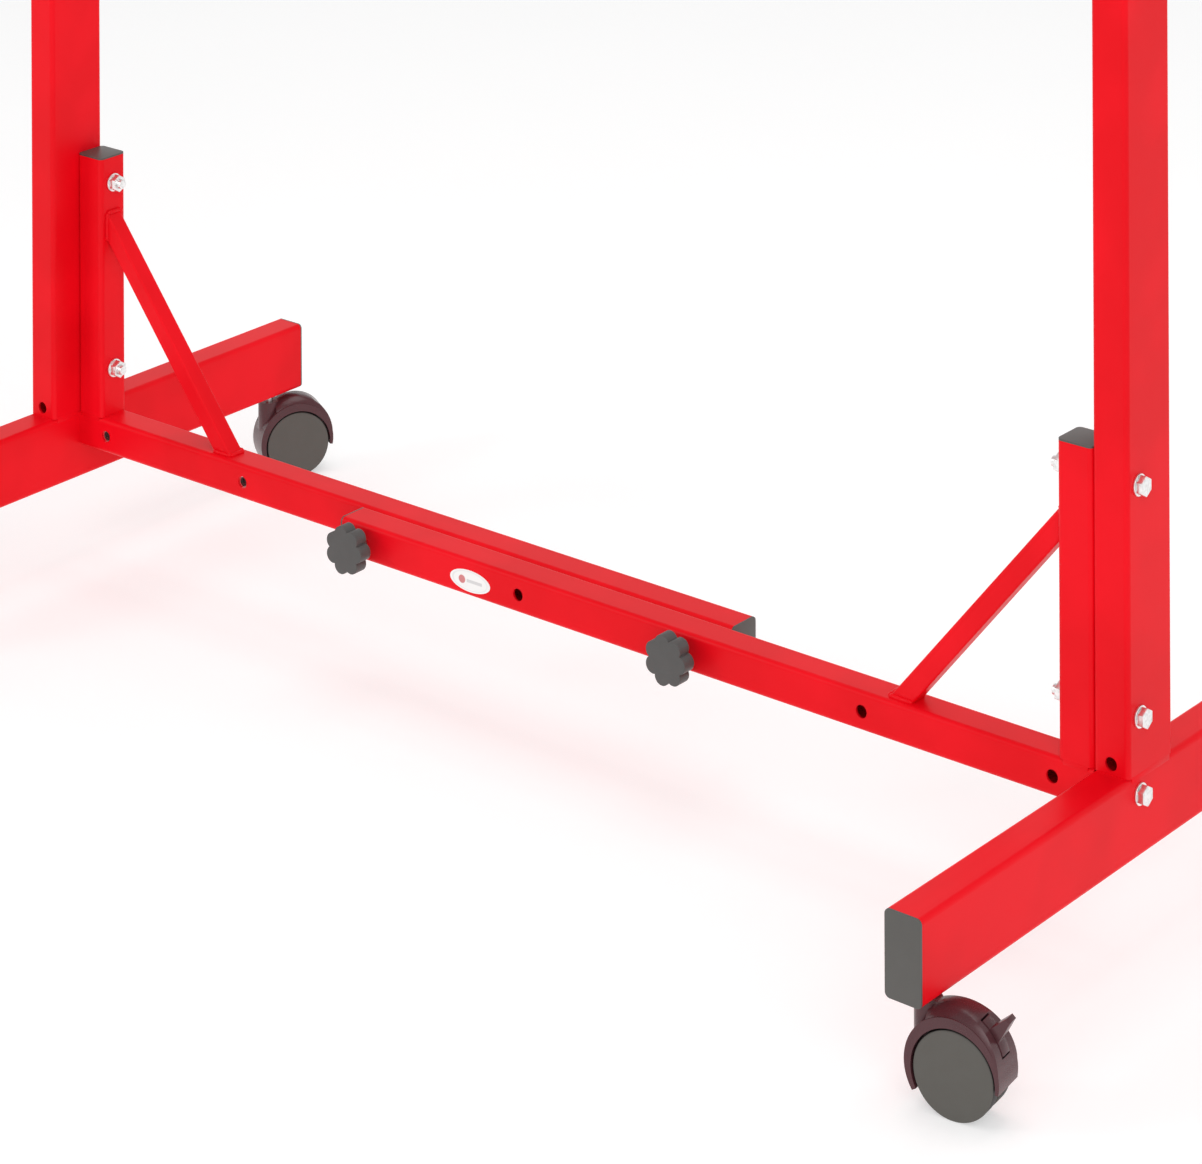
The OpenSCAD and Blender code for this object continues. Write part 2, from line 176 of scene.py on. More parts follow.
class Finish:
    """A material under construction: its nodes, and the one shader that they feed."""

    MIX_INPUTS = (0, 6, 7)  # factor and the two colours of a Mix node set to colours
    MIX_OUTPUT = 2

    def __init__(self, name: str) -> None:
        """Starts an empty node material.

        Args:
            name: Name of the material.
        """
        self.material = bpy.data.materials.new(name)
        self.material.use_nodes = True
        self.nodes = self.material.node_tree.nodes
        self.links = self.material.node_tree.links
        self.shader = next(n for n in self.nodes if n.type == "BSDF_PRINCIPLED")

    def add(
        self, kind: str, settings: dict[str, Any], inputs: dict[Any, Any], out: Any = 0
    ) -> Link:
        """Adds one node.

        Args:
            kind: Blender's type name of the node.
            settings: Node properties, set before the sockets.
            inputs: Values or links by socket name or number.
            out: Name or number of the output that is returned.

        Returns:
            The chosen output.
        """
        node = self.nodes.new(kind)
        for key, value in settings.items():
            setattr(node, key, value)
        for key, value in inputs.items():
            self.feed(node.inputs[key], value)
        return Link(self, node.outputs[out])

    def feed(self, socket: Any, value: Any) -> None:
        """Links or sets one socket.

        Args:
            socket: The input to feed.
            value: A link, or a constant. A colour of three values gets an alpha of 1.
        """
        if isinstance(value, Link):
            self.links.new(value.socket, socket)
        elif isinstance(value, (tuple, list)) and len(value) == 3 and socket.type == "RGBA":
            socket.default_value = (*value, 1.0)
        else:
            socket.default_value = value

    def set(self, **values: Any) -> None:
        """Feeds the shader's sockets.

        Args:
            values: Value by socket name, with an underscore for each space in the name.
        """
        for key, value in values.items():
            self.feed(self.shader.inputs[key.replace("_", " ")], value)

    def place(self) -> Link:
        """Object coordinates."""
        return self.add("ShaderNodeTexCoord", {}, {}, "Object")

    def axes(self) -> tuple[Link, Link, Link]:
        """Object X, Y and Z as three values."""
        split = self.nodes.new("ShaderNodeSeparateXYZ")
        self.links.new(self.place().socket, split.inputs[0])
        return tuple(Link(self, split.outputs[i]) for i in range(3))

    def noise(self, size: float, detail: float = 3.0, rough: float = 0.5) -> Link:
        """Makes smooth noise.

        Args:
            size: Width of a lump in metres.
            detail: Octaves of finer noise on top.
            rough: Weight of the finer noise.

        Returns:
            The noise, from 0 to 1.
        """
        return self.add(
            "ShaderNodeTexNoise",
            {},
            {"Vector": self.place(), "Scale": 1.0 / size, "Detail": detail, "Roughness": rough},
        )

    def mix(self, factor: Any, first: Any, second: Any) -> Link:
        """Blends two colours.

        Args:
            factor: 0 for the first colour, 1 for the second.
            first: The first colour.
            second: The second colour.

        Returns:
            The blend.
        """
        inputs = dict(zip(self.MIX_INPUTS, (factor, first, second)))
        return self.add("ShaderNodeMix", {"data_type": "RGBA"}, inputs, self.MIX_OUTPUT)

    def bump(self, height: Any, distance: float, strength: float = 1.0) -> Link:
        """Makes a normal from a height pattern.

        Args:
            height: The pattern, from 0 to 1.
            distance: Depth of the pattern in metres.
            strength: Weight of the effect.

        Returns:
            The normal.
        """
        inputs = {"Height": height, "Distance": distance, "Strength": strength}
        return self.add("ShaderNodeBump", {}, inputs, "Normal")


# ---------------------------------------------------------------- finishes


@dataclass(frozen=True)
class PowderCoat:
    """Glossy red powder coat with a fine orange peel."""

    name: str = "red powder coat"
    deep: Colour = (0.74, 0.0020, 0.008)
    bright: Colour = (0.82, 0.0030, 0.011)
    dust: Colour = (0.45, 0.002, 0.006)
    gloss: float = 0.34
    shine: float = 0.11
    cloud: float = 0.09
    speck: float = 0.6 * MM
    peel: float = 1.6 * MM
    depth: float = 0.02 * MM

    def make(self) -> bpy.types.Material:
        """Builds the material."""
        f = Finish(self.name)
        drift = f.noise(self.cloud, 2.0)
        speck = f.noise(self.speck, 2.0).step(0.66, 0.78)
        peel = f.noise(self.peel, 2.0, 0.45)
        colour = f.mix(drift.step(0.35, 0.65), self.deep, self.bright)
        f.set(
            Base_Color=f.mix(speck * 0.08, colour, self.dust),
            Roughness=self.gloss + 0.06 * drift + 0.05 * speck,
            Normal=f.bump(peel, self.depth, 0.35),
            Specular_IOR_Level=self.shine,
        )
        return f.material


@dataclass(frozen=True)
class MouldedPlastic:
    """Moulded plastic with a fine spark-eroded grain."""

    name: str
    base: Colour
    worn: Colour
    roughness: float
    shine: float = 0.4
    grain: float = 0.5 * MM
    cloud: float = 11 * MM
    depth: float = 0.015 * MM

    def make(self) -> bpy.types.Material:
        """Builds the material."""
        f = Finish(self.name)
        grain = f.noise(self.grain, 3.0, 0.6)
        drift = f.noise(self.cloud, 2.0)
        wear = drift.step(0.3, 0.8) * 0.3 + grain.step(0.45, 0.75) * 0.25
        f.set(
            Base_Color=f.mix(wear, self.base, self.worn),
            Roughness=self.roughness + 0.08 * grain - 0.03 * drift,
            Normal=f.bump(grain, self.depth, 0.5),
            Specular_IOR_Level=self.shine,
        )
        return f.material


@dataclass(frozen=True)
class ZincPlate:
    """Bright zinc plate on turned and pressed steel."""

    name: str = "bright zinc plate"
    pale: Colour = (0.90, 0.90, 0.90)
    dull: Colour = (0.74, 0.74, 0.73)
    spangle: float = 2.5 * MM
    scratch: float = 0.25 * MM
    depth: float = 0.008 * MM

    def make(self) -> bpy.types.Material:
        """Builds the material."""
        f = Finish(self.name)
        cloud = f.noise(self.spangle, 3.0)
        scratch = f.noise(self.scratch, 2.0, 0.6)
        f.set(
            Base_Color=f.mix(cloud.step(0.35, 0.7), self.pale, self.dull),
            Roughness=0.24 + 0.14 * cloud + 0.05 * scratch,
            Normal=f.bump(scratch, self.depth, 0.4),
            Metallic=1.0,
        )
        return f.material


@dataclass(frozen=True)
class LabelFilm:
    """A white vinyl oval with a plain grey ring, a dot and a bar that stand for nothing.

    Places and edges on the label are fractions of its half width and half height.
    """

    name: str = "label vinyl"
    centre: Span = (0.0, 0.0)
    half: Span = (21.5 * MM, 8.75 * MM)
    paper: Colour = (0.86, 0.86, 0.85)
    ring_ink: Colour = (0.40, 0.40, 0.42)
    dot_ink: Colour = (0.55, 0.03, 0.04)
    bar_ink: Colour = (0.35, 0.35, 0.37)
    ring_inner: Span = (0.80, 0.84)
    ring_outer: Span = (0.88, 0.92)
    dot_left: float = 0.40
    dot_squeeze: float = 2.3
    dot_edge: Span = (0.34, 0.42)
    bar_right: float = 0.22
    bar_reach: Span = (0.13, 0.16)
    bar_height: Span = (0.012, 0.030)

    def make(self) -> bpy.types.Material:
        """Builds the material, with its pattern centred in the X-Z plane."""
        f = Finish(self.name)
        x, _, z = f.axes()
        u = (x - self.centre[0]) * (1.0 / self.half[0])
        v = (z - self.centre[1]) * (1.0 / self.half[1])
        radius = (u * u + v * v).root()
        ring = radius.step(*self.ring_inner) * (1 - radius.step(*self.ring_outer))
        du = (u + self.dot_left) * self.dot_squeeze
        dot = 1 - (du * du + v * v).root().step(*self.dot_edge)
        along = u - self.bar_right
        bar = (1 - (along * along).step(*self.bar_reach)) * (1 - (v * v).step(*self.bar_height))
        ringed = f.mix(ring * 0.18, self.paper, self.ring_ink)
        dotted = f.mix(dot * 0.8, ringed, self.dot_ink)
        f.set(
            Base_Color=f.mix(bar * 0.45, dotted, self.bar_ink),
            Roughness=0.35 + 0.1 * f.noise(1.5 * MM),
        )
        return f.material


@dataclass(frozen=True)
class PaleFloor:
    """A seamless pale studio floor."""

    name: str = "studio floor"
    dark: Colour = (0.60, 0.60, 0.60)
    pale: Colour = (0.62, 0.62, 0.62)
    lift: float = 0.46

    def make(self) -> bpy.types.Material:
        """Builds the material."""
        f = Finish(self.name)
        f.set(
            Base_Color=f.mix(f.noise(0.4, 2.0), self.dark, self.pale),
            Roughness=0.75,
            Emission_Color=(1.0, 1.0, 1.0),
            Emission_Strength=self.lift,
            Specular_IOR_Level=0.1,
        )
        return f.material


PLASTICS = {
    "black_plastic": MouldedPlastic(
        "housing plastic", (0.072, 0.022, 0.027), (0.084, 0.031, 0.036), 0.24
    ),
    "cap_plastic": MouldedPlastic(
        "cap plastic", (0.074, 0.071, 0.065), (0.088, 0.085, 0.078), 0.36, 0.5
    ),
    "knob_plastic": MouldedPlastic(
        "knob plastic", (0.080, 0.078, 0.076), (0.098, 0.095, 0.092), 0.42, 0.3
    ),
    "wheel_plastic": MouldedPlastic(
        "wheel plastic", (0.094, 0.089, 0.079), (0.106, 0.101, 0.091), 0.46, 0.3
    ),
    "tread": MouldedPlastic(
        "tread plastic", (0.026, 0.024, 0.023), (0.040, 0.037, 0.035), 0.55, 0.3
    ),
}


class Paints:
    """Every finish of the rack, by material slot or by its own short name."""

    def __init__(self, label_at: Point) -> None:
        """Makes the finishes.

        Args:
            label_at: Centre of the label.
        """
        recipes = {
            "red_paint": PowderCoat(),
            **PLASTICS,
            "zinc": ZincPlate(),
            "label_film": LabelFilm(centre=(label_at[0], label_at[2])),
        }
        self.slots = {slot: recipe.make() for slot, recipe in recipes.items()}

    def __getitem__(self, slot: str) -> bpy.types.Material:
        """The finish of a slot or short name."""
        return self.slots[slot]


# ---------------------------------------------------------------- modelling by operators


class Bench:
    """Operator modelling: add, select by place, shape, put in place and hand over."""

    @staticmethod
    def clear() -> None:
        """Deselects everything."""
        if bpy.context.object and bpy.context.object.mode != "OBJECT":
            bpy.ops.object.mode_set(mode="OBJECT")
        bpy.ops.object.select_all(action="DESELECT")

    @staticmethod
    def take(obj: bpy.types.Object) -> bpy.types.Object:
        """Makes one object the selected and active one."""
        Bench.clear()
        obj.select_set(True)
        bpy.context.view_layer.objects.active = obj
        return obj

    @staticmethod
    def cylinder(
        radius: float, depth: float, sides: int, centre: Point = (0, 0, 0)
    ) -> bpy.types.Object:
        """Adds a closed cylinder along Z.

        Args:
            radius: Radius to the corners.
            depth: Length along Z.
            sides: Number of flat sides.
            centre: Middle of the cylinder.

        Returns:
            The cylinder.
        """
        Bench.clear()
        bpy.ops.mesh.primitive_cylinder_add(
            vertices=sides, radius=radius, depth=depth, location=centre
        )
        return bpy.context.object

    @staticmethod
    def block(size: Point, centre: Point) -> bpy.types.Object:
        """Adds a box.

        Args:
            size: Its lengths along X, Y and Z.
            centre: Its middle.

        Returns:
            The box.
        """
        Bench.clear()
        bpy.ops.mesh.primitive_cube_add(size=1.0, location=centre)
        obj = bpy.context.object
        obj.scale = size
        bpy.ops.object.transform_apply(location=False, rotation=False, scale=True)
        return obj

    @staticmethod
    def pick(obj: bpy.types.Object, domain: Domain, test: Callable[[Any], bool]) -> None:
        """Enters edit mode with only the faces or edges that pass a test selected.

        Args:
            obj: The object to edit.
            domain: Whether faces or edges are picked.
            test: Takes a face or an edge and says whether it is wanted.
        """
        Bench.take(obj)
        bpy.ops.object.mode_set(mode="EDIT")
        bpy.ops.mesh.select_mode(type=domain.name)
        mesh = bmesh.from_edit_mesh(obj.data)
        for items in (mesh.verts, mesh.edges, mesh.faces):
            for item in items:
                item.select = False
        for item in getattr(mesh, domain.value):
            if test(item):
                item.select_set(True)
        bmesh.update_edit_mesh(obj.data)

    @staticmethod
    def pick_all(obj: bpy.types.Object) -> None:
        """Enters edit mode with everything selected."""
        Bench.take(obj)
        bpy.ops.object.mode_set(mode="EDIT")
        bpy.ops.mesh.select_all(action="SELECT")

    @staticmethod
    def leave() -> None:
        """Returns to object mode."""
        bpy.ops.object.mode_set(mode="OBJECT")

    @staticmethod
    def bevel(obj: bpy.types.Object, width: float, segments: int = 3, angle: float = 30.0) -> None:
        """Rounds every sharp edge, with a modifier that is then applied.

        Args:
            obj: The object to round.
            width: Radius of the rounding.
            segments: Steps of the rounding.
            angle: Edges flatter than this many degrees stay as they are.
        """
        Bench.take(obj)
        rounding = obj.modifiers.new("rounding", "BEVEL")
        rounding.width = width
        rounding.segments = segments
        rounding.limit_method = "ANGLE"
        rounding.angle_limit = math.radians(angle)
        bpy.ops.object.modifier_apply(modifier=rounding.name)

    @staticmethod
    def smooth(obj: bpy.types.Object, angle: float = 32.0) -> None:
        """Shades the object smooth up to an angle between faces."""
        Bench.take(obj)
        bpy.ops.object.shade_smooth_by_angle(angle=math.radians(angle))

    @staticmethod
    def outward(obj: bpy.types.Object, merge: float = 1e-6) -> None:
        """Merges doubles and turns the faces outwards."""
        Bench.pick_all(obj)
        bpy.ops.mesh.remove_doubles(threshold=merge)
        bpy.ops.mesh.normals_make_consistent(inside=False)
        Bench.leave()

    @staticmethod
    def cleaned(obj: bpy.types.Object, merge: float = 4e-6) -> None:
        """Merges the points that a rounding leaves together, and drops faces with no area."""
        Bench.pick_all(obj)
        bpy.ops.mesh.remove_doubles(threshold=merge)
        bpy.ops.mesh.dissolve_degenerate(threshold=merge)
        Bench.leave()

    @staticmethod
    def put(obj: bpy.types.Object, where: Matrix) -> None:
        """Moves a finished shape to its place and applies that, so its origin stays put."""
        Bench.take(obj)
        obj.matrix_world = where @ obj.matrix_world
        bpy.ops.object.transform_apply(location=True, rotation=True, scale=True)

    @staticmethod
    def join(parts: Sequence[bpy.types.Object]) -> bpy.types.Object:
        """Joins several shapes into one piece."""
        Bench.clear()
        for part in parts:
            part.select_set(True)
        bpy.context.view_layer.objects.active = parts[0]
        bpy.ops.object.join()
        return bpy.context.object

    @staticmethod
    def hand_over(
        obj: bpy.types.Object,
        name: str,
        body: str,
        material: bpy.types.Material,
        slot: str,
        replaces: Iterable[str] = (),
    ) -> bpy.types.Object:
        """Names a finished piece, dresses it and gives it to its body.

        Args:
            obj: The piece.
            name: Its name.
            body: The body that it moves with.
            material: Its finish, unless it has one already.
            slot: Its material slot. Not used.
            replaces: Frame nodes that it takes the place of.

        Returns:
            The piece.
        """
        obj.name = name
        obj.data.name = name
        if not obj.data.materials:
            obj.data.materials.append(material)
        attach(obj, body)
        names = tuple(replaces)
        if names:
            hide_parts(*names)
        log.info("%s: %d faces", name, len(obj.data.polygons))
        return obj

    @staticmethod
    def softened(node: str, width: float, segments: int = 3) -> bpy.types.Object:
        """Copies a frame node's shape and rounds its hard edges as moulding or pressing would.

        Args:
            node: Name of the node.
            width: Radius of the rounding.
            segments: Steps of the rounding.

        Returns:
            The rounded copy.
        """
        source = bpy.data.objects[node]
        obj = bpy.data.objects.new(node + "_soft", source.data.copy())
        obj.data.materials.clear()
        bpy.context.scene.collection.objects.link(obj)
        Bench.take(obj)
        if obj.data.has_custom_normals:
            bpy.ops.mesh.customdata_custom_splitnormals_clear()
        Bench.pick_all(obj)
        bpy.ops.mesh.remove_doubles(threshold=2e-5)
        bpy.ops.mesh.dissolve_limited(angle_limit=math.radians(1.0))
        Bench.leave()
        Bench.bevel(obj, width, segments)
        Bench.cleaned(obj)
        Bench.smooth(obj, 40.0)
        return obj


# ---------------------------------------------------------------- sub-assemblies


@dataclass
class TubeFrame:
    """The welded tubes, which keep the frame's own shapes."""

    paints: Paints

    def dress(self, frame: dict[str, Any]) -> None:
        """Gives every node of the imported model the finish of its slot."""
        slots = {p["node"]: p["material_slot"] for p in frame["record"]["subparts"]}
        for name, obj in frame["nodes"].items():
            slot = slots[name]
            paint = self.paints["cap_plastic" if "caps" in name else slot]
            obj.data.materials.clear()
            obj.data.materials.append(paint)
        log.info("%d nodes dressed", len(frame["nodes"]))


@dataclass
class WeldFills:
    """Ground-flush fills where a flat tube meets the rounded corner of the tube it stands on."""

    paints: Paints
    corner: float = 4 * MM
    proud: float = 0.03 * MM
    overlap: float = 1 * MM
    trim: float = 2.2
    rounding: float = 0.35 * MM

    def pair(self, side: Side, part: str, across: int) -> None:
        """Fills the two sides of a standing tube, with softened ends.

        Args:
            side: The end frame.
            part: Name of the standing tube within its end frame.
            across: Axis between the two sides, 0 for X and 1 for Y.
        """
        low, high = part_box(f"{side.value}_{part}")
        along = 1 - across
        size = [0.0, 0.0, self.corner + self.overlap]
        size[across] = self.corner
        size[along] = (high[along] - low[along]) - self.trim * self.corner
        for face, tag, inward in ((low[across], "a", 1.0), (high[across], "b", -1.0)):
            centre = [0.0, 0.0, low[2] - self.corner / 2 + self.overlap / 2]
            centre[across] = face + inward * (self.corner / 2 - self.proud)
            centre[along] = (low[along] + high[along]) / 2
            obj = Bench.block(size, centre)
            Bench.bevel(obj, self.rounding, 2)
            Bench.smooth(obj)
            name = f"{side.value}_{part}_weld_{tag}"
            Bench.hand_over(obj, name, side.body, self.paints["red_paint"], "red_paint")


@dataclass
class WeldBeads:
    """Rippled fillet beads, painted over with the tubes."""

    paints: Paints
    radius: float = 2.1 * MM
    rail_radius: float = 1.7 * MM
    ripple: float = 2.0 * MM
    sides: int = 12
    cuts_per_ripple: int = 3
    least_cuts: int = 6
    swell: float = 0.10
    waver: float = 0.05
    waver_rate: float = 1.7
    taper: float = 1.2
    blunt: float = 0.35
    lift: float = 0.6 * MM
    rail_sink: float = 0.4 * MM
    rail_corner: float = 4 * MM

    def bead(self, start: Vector, end: Vector, radius: float) -> bpy.types.Object:
        """Lays one bead between two points.

        Args:
            start: Where the bead starts.
            end: Where the bead ends.
            radius: Radius of the bead.

        Returns:
            The bead.
        """
        along = end - start
        half = along.length / 2
        obj = Bench.cylinder(radius, along.length, self.sides)
        cuts = max(self.least_cuts, int(along.length / self.ripple) * self.cuts_per_ripple)
        Bench.pick(obj, Domain.EDGE, lambda e: abs(e.verts[0].co.z - e.verts[1].co.z) > half)
        bpy.ops.mesh.subdivide_edgering(number_cuts=cuts, smoothness=0.0)
        mesh = bmesh.from_edit_mesh(obj.data)
        for vert in mesh.verts:
            phase = (vert.co.z + half) / self.ripple
            wave = self.swell * math.sin(2 * math.pi * phase)
            waver = self.waver * math.sin(self.waver_rate * phase + 1.0)
            tip = min(1.0, (half - abs(vert.co.z)) / (self.taper * radius) + self.blunt)
            vert.co.x *= (1.0 + wave + waver) * tip
            vert.co.y *= (1.0 + wave + waver) * tip
        bmesh.update_edit_mesh(obj.data)
        Bench.leave()
        turn = along.to_track_quat("Z", "Y").to_matrix().to_4x4()
        Bench.put(obj, Matrix.Translation((start + end) / 2) @ turn)
        return obj

    def group(
        self, name: str, side: Side, runs: Iterable[tuple[Vector, Vector]], radius: float
    ) -> None:
        """Lays a group of beads as one piece.

        Args:
            name: Name of the piece.
            side: The end frame.
            runs: Start and end of each bead.
            radius: Radius of the beads.
        """
        obj = Bench.join([self.bead(a, b, radius) for a, b in runs])
        Bench.outward(obj)
        Bench.smooth(obj, 50.0)
        Bench.hand_over(obj, name, side.body, self.paints["red_paint"], "red_paint")

    def brace(self, side: Side) -> None:
        """Welds both ends of a brace, across its width and along its flanks."""
        low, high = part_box(f"{side.value}_brace")
        out = side.out
        post_x, toe_x = (high[0], low[0]) if out > 0 else (low[0], high[0])
        y0, y1, z0, z1 = low[1], high[1], low[2], high[2]
        run, rise = abs(post_x - toe_x), z1 - z0
        foot_span = (y1 - y0) * math.hypot(run, rise) / rise
        head_span = (y1 - y0) * math.hypot(run, rise) / run
        base, wall = z0 + self.lift, post_x - out * self.lift
        runs = []
        for (x, z), (end_x, end_z) in (
            ((toe_x, base), (toe_x + out * foot_span, base)),
            ((wall, z1), (wall, z1 - head_span)),
        ):
            runs.append((Vector((x, y0, z)), Vector((x, y1, z))))
            for y in (y0, y1):
                runs.append((Vector((x, y, z)), Vector((end_x, y, end_z))))
        self.group(f"{side.value}_brace_welds", side, runs, self.radius)

    def rails(self, side: Side, tier: str) -> None:
        """Welds the two rails of a tier to their cross arm, on all four sides."""
        runs = []
        c = self.rail_corner
        for row in ("front", "rear"):
            low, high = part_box(f"{side.value}_{row}_{tier}_rail")
            x = high[0] if side is Side.RIGHT else low[0]
            x -= side.out * self.rail_sink
            for z in (low[2], high[2]):
                runs.append((Vector((x, low[1] + c, z)), Vector((x, high[1] - c, z))))
            for y in (low[1], high[1]):
                runs.append((Vector((x, y, low[2] + c)), Vector((x, y, high[2] - c))))
        self.group(f"{side.value}_{tier}_rail_welds", side, runs, self.rail_radius)


@dataclass
class Hardware:
    """Caps, bolts, washers and nuts, softened as moulding and plating leave them."""

    paints: Paints
    softening: tuple[tuple[str, str, str, float], ...] = (
        ("wide_caps", "black_plastic", "cap_plastic", 0.9 * MM),
        ("square_caps", "black_plastic", "cap_plastic", 0.9 * MM),
        ("bolts", "zinc", "zinc", 0.8 * MM),
        ("washers", "zinc", "zinc", 0.3 * MM),
        ("nuts", "zinc", "zinc", 0.6 * MM),
    )

    def build(self, side: Side) -> None:
        """Replaces the hardware of one end frame by softened copies."""
        for part, slot, paint, width in self.softening:
            node = f"{side.value}_{part}"
            obj = Bench.softened(node, width)
            Bench.hand_over(obj, node + "_piece", side.body, self.paints[paint], slot, [node])


@dataclass
class StarKnob:
    """A moulded star knob with rounded lobes and rim."""

    paints: Paints
    name: str
    rounding: float = 2.0 * MM

    def build(self) -> None:
        """Replaces the head. The stud keeps its frame shape."""
        node, slot = f"{self.name}_head", "knob_plastic"
        head = Bench.softened(node, self.rounding, 4)
        Bench.hand_over(head, f"{self.name}_star", self.name, self.paints[slot], slot, [node])


@dataclass
class Caster:
    """One twin-wheel caster: softened housing, turned wheels and, in front, a brake lever."""

    paints: Paints
    name: str
    axle: Vector
    across: Vector
    wheel_r: float = 30 * MM
    wheel_in: float = 3.5 * MM
    wheel_t: float = 10.5 * MM
    wheel_sides: int = 96
    wheel_rounding: float = 1.1 * MM
    face_rings: int = 6
    ring: float = 4 * MM
    dome: float = 0.20 * MM
    back_wall: float = 0.6 * MM
    back_sink: float = 4 * MM
    back_floor: float = 12 * MM
    hub_rise: float = 3.6 * MM
    hub_face: float = 8.6 * MM
    bore_wall: float = 0.02 * MM
    bore_depth: float = 6.7 * MM
    tread_edge: float = 0.6 * MM
    hood_rounding: float = 1.8 * MM
    lever_rounding: float = 0.5 * MM

    @property
    def place(self) -> Matrix:
        """Turns a shape whose axle is Z into this caster's place."""
        z = self.across.normalized()
        y = Vector((0, 0, 1))
        x = y.cross(z)
        turn = Matrix((x, y, z)).transposed().to_4x4()
        return Matrix.Translation(self.axle) @ turn

    def turned(self) -> bpy.types.Object:
        """Turns one wheel around Z, its face up.

        Returns:
            The wheel, with a faintly domed disc in front and a recess, hub and bore behind.
        """
        inset = bpy.ops.mesh.inset
        middle = self.wheel_in + self.wheel_t / 2
        obj = Bench.cylinder(self.wheel_r, self.wheel_t, self.wheel_sides, (0, 0, middle))
        Bench.pick(obj, Domain.FACE, lambda f: f.normal.z > 0.9)
        for step in range(1, self.face_rings + 1):
            inset(thickness=self.ring, depth=self.dome / step)
        Bench.leave()
        Bench.pick(obj, Domain.FACE, lambda f: f.normal.z < -0.9)
        inset(thickness=self.ring)
        inset(thickness=self.back_wall, depth=-self.back_sink)
        inset(thickness=self.back_floor)
        inset(thickness=self.back_wall, depth=self.hub_rise)
        Bench.leave()
        Bench.bevel(obj, self.wheel_rounding, 4, 50.0)
        Bench.pick(
            obj,
            Domain.FACE,
            lambda f: f.normal.z < -0.9 and f.calc_center_median().xy.length < 1 * MM,
        )
        inset(thickness=self.hub_face)
        inset(thickness=self.bore_wall, depth=-self.bore_depth)
        Bench.leave()
        Bench.cleaned(obj)
        Bench.smooth(obj, 40.0)
        return obj

    def wheel(self, role: str, sign: float) -> None:
        """Makes one wheel, paints its disc and its tread, and puts it on its side of the axle.

        Args:
            role: outer or inner.
            sign: Which way along the axle it lies.
        """
        obj = self.turned()
        disc, tread = self.paints["wheel_plastic"], self.paints["tread"]
        obj.data.materials.append(disc)
        obj.data.materials.append(tread)
        for face in obj.data.polygons:
            distance = math.hypot(face.center.x, face.center.y)
            if distance > self.wheel_r - self.tread_edge and abs(face.normal.z) < 0.5:
                face.material_index = 1
        if sign < 0:
            Bench.put(obj, Matrix.Rotation(math.pi, 4, "X"))
        Bench.put(obj, self.place)
        stem = f"{self.name}_{role}"
        Bench.hand_over(
            obj, f"{stem}_disc", f"{stem}_roller", disc, "wheel_plastic", [f"{stem}_wheel"]
        )

    def build(self) -> None:
        """Makes the whole caster. Its axle pin keeps its frame shape."""
        name, slot = self.name, "black_plastic"
        paint = self.paints[slot]
        shell = Bench.softened(f"{name}_housing", self.hood_rounding, 4)
        Bench.hand_over(
            shell, f"{name}_hood", f"{name}_caster", paint, slot, [f"{name}_housing"]
        )
        sign = -1.0 if name == "front_right" else 1.0
        self.wheel("outer", sign)
        self.wheel("inner", -sign)
        if name.startswith("front"):
            lever = Bench.softened(f"{name}_brake", self.lever_rounding, 2)
            Bench.hand_over(
                lever, f"{name}_brake_tab", f"{name}_brake_lever", paint, slot, [f"{name}_brake"]
            )


# ---------------------------------------------------------------- studio


@dataclass(frozen=True)
class SoftBox:
    """A square area light."""

    name: str
    size: float
    power: float
    at: Point
    aim: Point

    def hang(self) -> None:
        """Adds the light to the scene."""
        data = bpy.data.lights.new(self.name, "AREA")
        data.shape = "RECTANGLE"
        data.size = data.size_y = self.size
        data.energy = self.power
        lamp = bpy.data.objects.new(self.name, data)
        lamp.location = self.at
        look = Vector(self.aim) - Vector(self.at)
        lamp.rotation_euler = look.to_track_quat("-Z", "Y").to_euler()
        bpy.context.scene.collection.objects.link(lamp)


